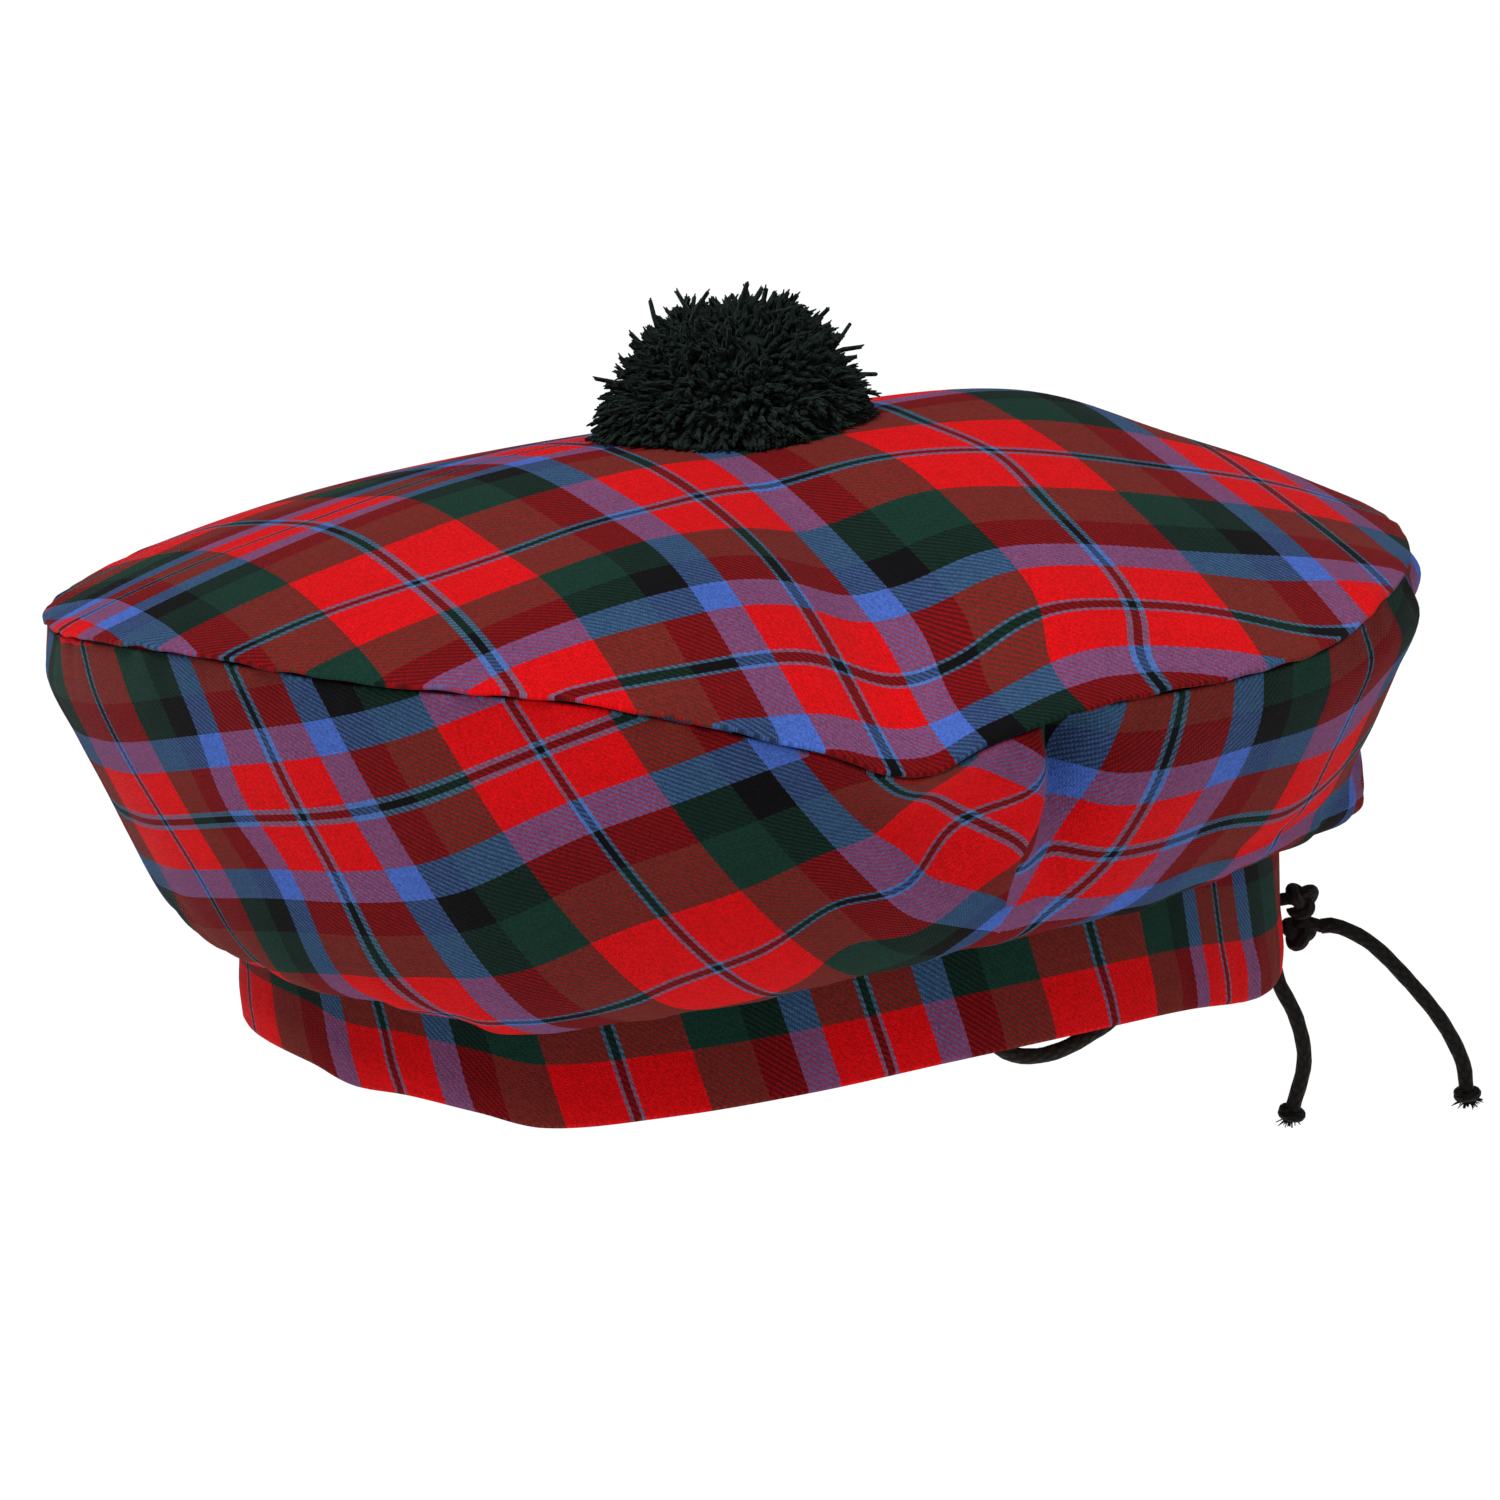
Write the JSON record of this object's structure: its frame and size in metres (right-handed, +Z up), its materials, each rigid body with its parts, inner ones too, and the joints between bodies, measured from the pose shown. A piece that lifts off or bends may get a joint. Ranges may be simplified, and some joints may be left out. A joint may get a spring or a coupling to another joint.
{
  "type": "tam o' shanter",
  "caption": "Round flat tartan wool bonnet with a drooping two-panel crown, a headband, a dark wool pompom on top and a black drawstring knotted at the back.",
  "frame": {"origin": "middle of the head opening, in the plane that the lowest point of the headband's hem touches", "axes": "+Z up, +X to the back of the hat where the drawstring is tied, -X to the front, +Y to the far side in the picture"},
  "size_m": [0.277, 0.2643, 0.1734],
  "materials": {
    "tartan_band": "red tartan wool twill, matte",
    "tartan_under": "red tartan wool twill, matte",
    "tartan_top": "red tartan wool twill, matte",
    "dark_green_wool": "loose cut wool yarn, matte",
    "black_cord": "braided cotton cord, matte"
  },
  "bodies": {
    "root": {"headband": "tartan_band", "crown_under": "tartan_under", "crown_top": "tartan_top", "pompom": "dark_green_wool", "drawstring_knot": "black_cord", "cord_tail_long": "black_cord", "cord_tail_short": "black_cord", "cord_hem_loop": "black_cord", "end_knot_long": "black_cord", "end_knot_short": "black_cord"}
  },
  "joints": []
}
